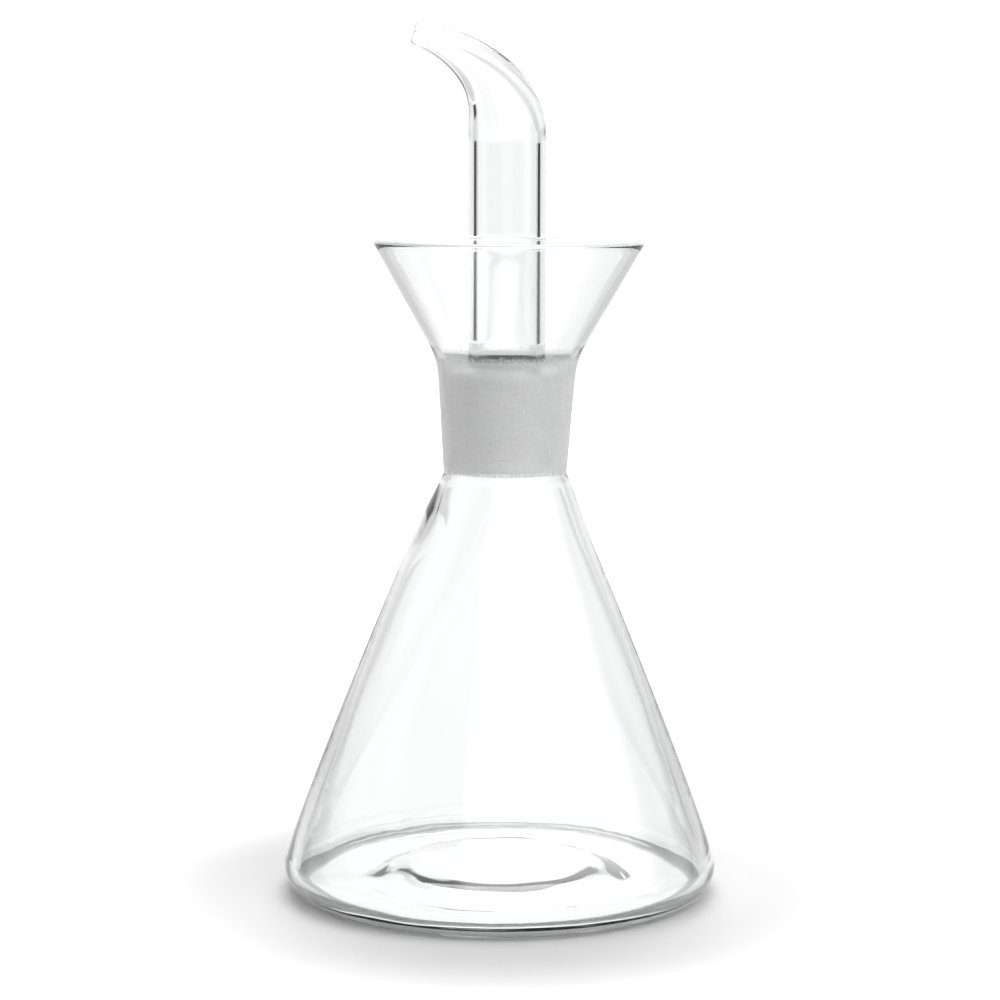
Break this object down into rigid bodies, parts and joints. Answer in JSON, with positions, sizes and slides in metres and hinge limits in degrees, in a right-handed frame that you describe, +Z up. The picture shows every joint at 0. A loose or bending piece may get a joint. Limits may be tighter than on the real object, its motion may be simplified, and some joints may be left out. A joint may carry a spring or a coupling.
{
  "type": "oil cruet",
  "caption": "Clear glass oil cruet: conical flask with a ground socket and drip funnel, and a lift-out pourer with a hollow ground plug and a bent, drawn spout.",
  "frame": {"origin": "centre of the base, on the surface that the bottle stands on", "axes": "+Z up along the bottle's axis, the spout points towards -X"},
  "size_m": [0.095, 0.095, 0.1904],
  "materials": {
    "clear_glass": "clear, fire-polished borosilicate glass",
    "ground_glass": "clear glass with a fine-ground, frosted joint face"
  },
  "bodies": {
    "flask": {"flask_body": "clear_glass", "neck_socket": "ground_glass", "drip_funnel": "clear_glass"},
    "pourer": {"ground_plug": "ground_glass", "spout_tube": "clear_glass"}
  },
  "joints": [
    {"name": "pourer_lift", "type": "slide", "parent": "flask", "child": "pourer", "axis": [0, 0, 1], "range_m": [0, 0.06]}
  ]
}
